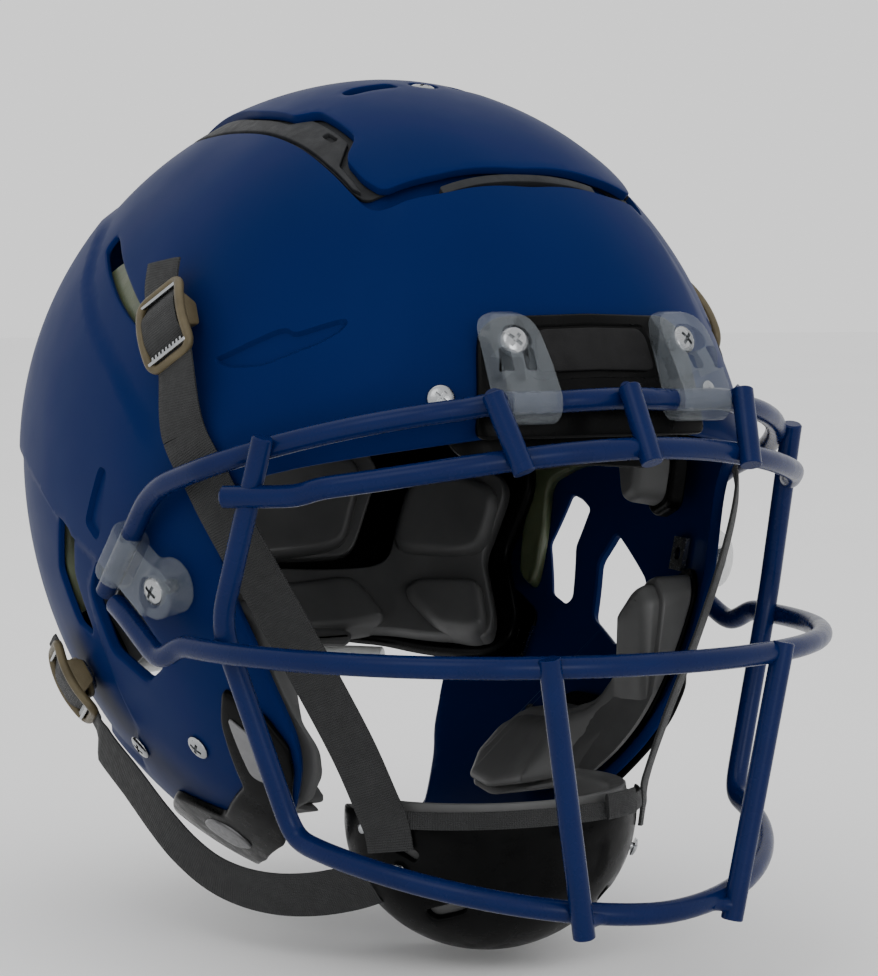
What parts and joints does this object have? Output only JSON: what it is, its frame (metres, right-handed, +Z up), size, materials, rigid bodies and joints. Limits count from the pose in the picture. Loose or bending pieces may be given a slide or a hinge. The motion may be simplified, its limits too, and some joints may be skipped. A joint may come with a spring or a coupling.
{
  "type": "american football helmet",
  "caption": "Hard-shell football helmet with a padded liner, a floating crown plate, a swing-up wire face mask and a chin cup on four strap buckles.",
  "frame": {"origin": "centre of the wearer's head, in the shell's middle plane, 142.4 mm below the top of the shell", "axes": "+Z up, -Y to the front (face mask), +X to the wearer's left"},
  "size_m": [0.259, 0.3646, 0.3147],
  "materials": {
    "shell_blue": "satin-gloss royal navy moulded shell",
    "mask_blue": "gloss royal navy powder coat on steel wire",
    "black_trim": "satin black moulded plastic",
    "black_rubber": "matt black rubber",
    "pad_grey": "matt charcoal moulded pad skin",
    "webbing_grey": "ribbed dark grey webbing",
    "badge_grey": "matt mid grey blank badge",
    "clear_clip": "clear polycarbonate",
    "chrome_steel": "bright plated steel",
    "buckle_tan": "tan coated steel",
    "olive_tpu": "olive-grey moulded elastomer",
    "white_tube": "translucent white tube"
  },
  "bodies": {
    "shell": {"shell": "shell_blue", "crown_gasket": "black_rubber", "front_bumper": "black_rubber", "name_panel": "badge_grey", "brow_screws": "chrome_steel", "upper_clip_left": "clear_clip", "upper_clip_right": "clear_clip", "upper_clip_screws": "chrome_steel", "t_nuts": "chrome_steel", "jaw_guard_left": "black_trim", "jaw_guard_right": "black_trim", "jaw_badges": "badge_grey", "jaw_screws": "chrome_steel", "strap_studs": "chrome_steel", "front_pad": "pad_grey", "side_pad_left": "pad_grey", "side_pad_right": "pad_grey", "back_pad_left": "pad_grey", "back_pad_right": "pad_grey", "nape_pad": "pad_grey", "crown_pad": "pad_grey", "shock_layer_left": "olive_tpu", "shock_layer_right": "olive_tpu", "shock_layer_front": "olive_tpu", "rear_band": "black_rubber", "air_tube": "white_tube", "rear_bumper": "black_rubber", "jaw_pad_backs": "black_rubber"},
    "crown_plate": {"crown_plate": "shell_blue", "crown_screw": "chrome_steel"},
    "facemask": {"top_bar": "mask_blue", "eye_bar": "mask_blue", "mid_bar": "mask_blue", "lower_bar": "mask_blue", "front_bars": "mask_blue", "brow_bars": "mask_blue", "side_clip_left": "clear_clip", "side_clip_right": "clear_clip", "side_clip_screws": "chrome_steel"},
    "chin_cup": {"chin_cup": "black_trim", "cup_pad": "pad_grey", "cup_band": "webbing_grey", "cup_rivets": "chrome_steel", "upper_strap_left": "webbing_grey", "upper_strap_right": "webbing_grey", "lower_strap_left": "webbing_grey", "lower_strap_right": "webbing_grey"},
    "upper_buckle_left": {"upper_buckle_left": "buckle_tan"},
    "upper_buckle_right": {"upper_buckle_right": "buckle_tan"},
    "lower_buckle_left": {"lower_buckle_left": "buckle_tan"},
    "lower_buckle_right": {"lower_buckle_right": "buckle_tan"},
    "jaw_pad_left": {"jaw_pad_left": "pad_grey"},
    "jaw_pad_right": {"jaw_pad_right": "pad_grey"}
  },
  "joints": [
    {"name": "facemask_swing", "type": "hinge", "parent": "shell", "child": "facemask", "pos_m": [0, -0.1534, 0.0282], "axis": [-1, 0, 0], "range_deg": [0, 80]},
    {"name": "crown_plate_float", "type": "slide", "parent": "shell", "child": "crown_plate", "axis": [0, 0, -1], "range_m": [0, 0.0012], "stiffness_N_per_m": 20000, "deforming": ["crown_gasket"]},
    {"name": "chin_cup_let_out", "type": "slide", "parent": "shell", "child": "chin_cup", "axis": [0, -0.5, -0.866], "range_m": [0, 0.012], "deforming": ["upper_strap_left", "upper_strap_right", "lower_strap_left", "lower_strap_right"]},
    {"name": "upper_buckle_left_swivel", "type": "hinge", "parent": "shell", "child": "upper_buckle_left", "pos_m": [0.10783, -0.0444, 0.0501], "axis": [0.9308, -0.1765, 0.3201], "range_deg": [-12, 12]},
    {"name": "upper_buckle_right_swivel", "type": "hinge", "parent": "shell", "child": "upper_buckle_right", "pos_m": [-0.10783, -0.0444, 0.0501], "axis": [-0.9308, -0.1765, 0.3201], "range_deg": [-12, 12]},
    {"name": "lower_buckle_left_swivel", "type": "hinge", "parent": "shell", "child": "lower_buckle_left", "pos_m": [0.09978, 0.0455, -0.0807], "axis": [0.901, 0.1434, -0.4093], "range_deg": [-12, 12]},
    {"name": "lower_buckle_right_swivel", "type": "hinge", "parent": "shell", "child": "lower_buckle_right", "pos_m": [-0.09978, 0.0455, -0.0807], "axis": [-0.901, 0.1434, -0.4093], "range_deg": [-12, 12]},
    {"name": "jaw_pad_left_release", "type": "slide", "parent": "shell", "child": "jaw_pad_left", "axis": [-1, 0, 0], "range_m": [0, 0.012]},
    {"name": "jaw_pad_right_release", "type": "slide", "parent": "shell", "child": "jaw_pad_right", "axis": [1, 0, 0], "range_m": [0, 0.012]}
  ]
}
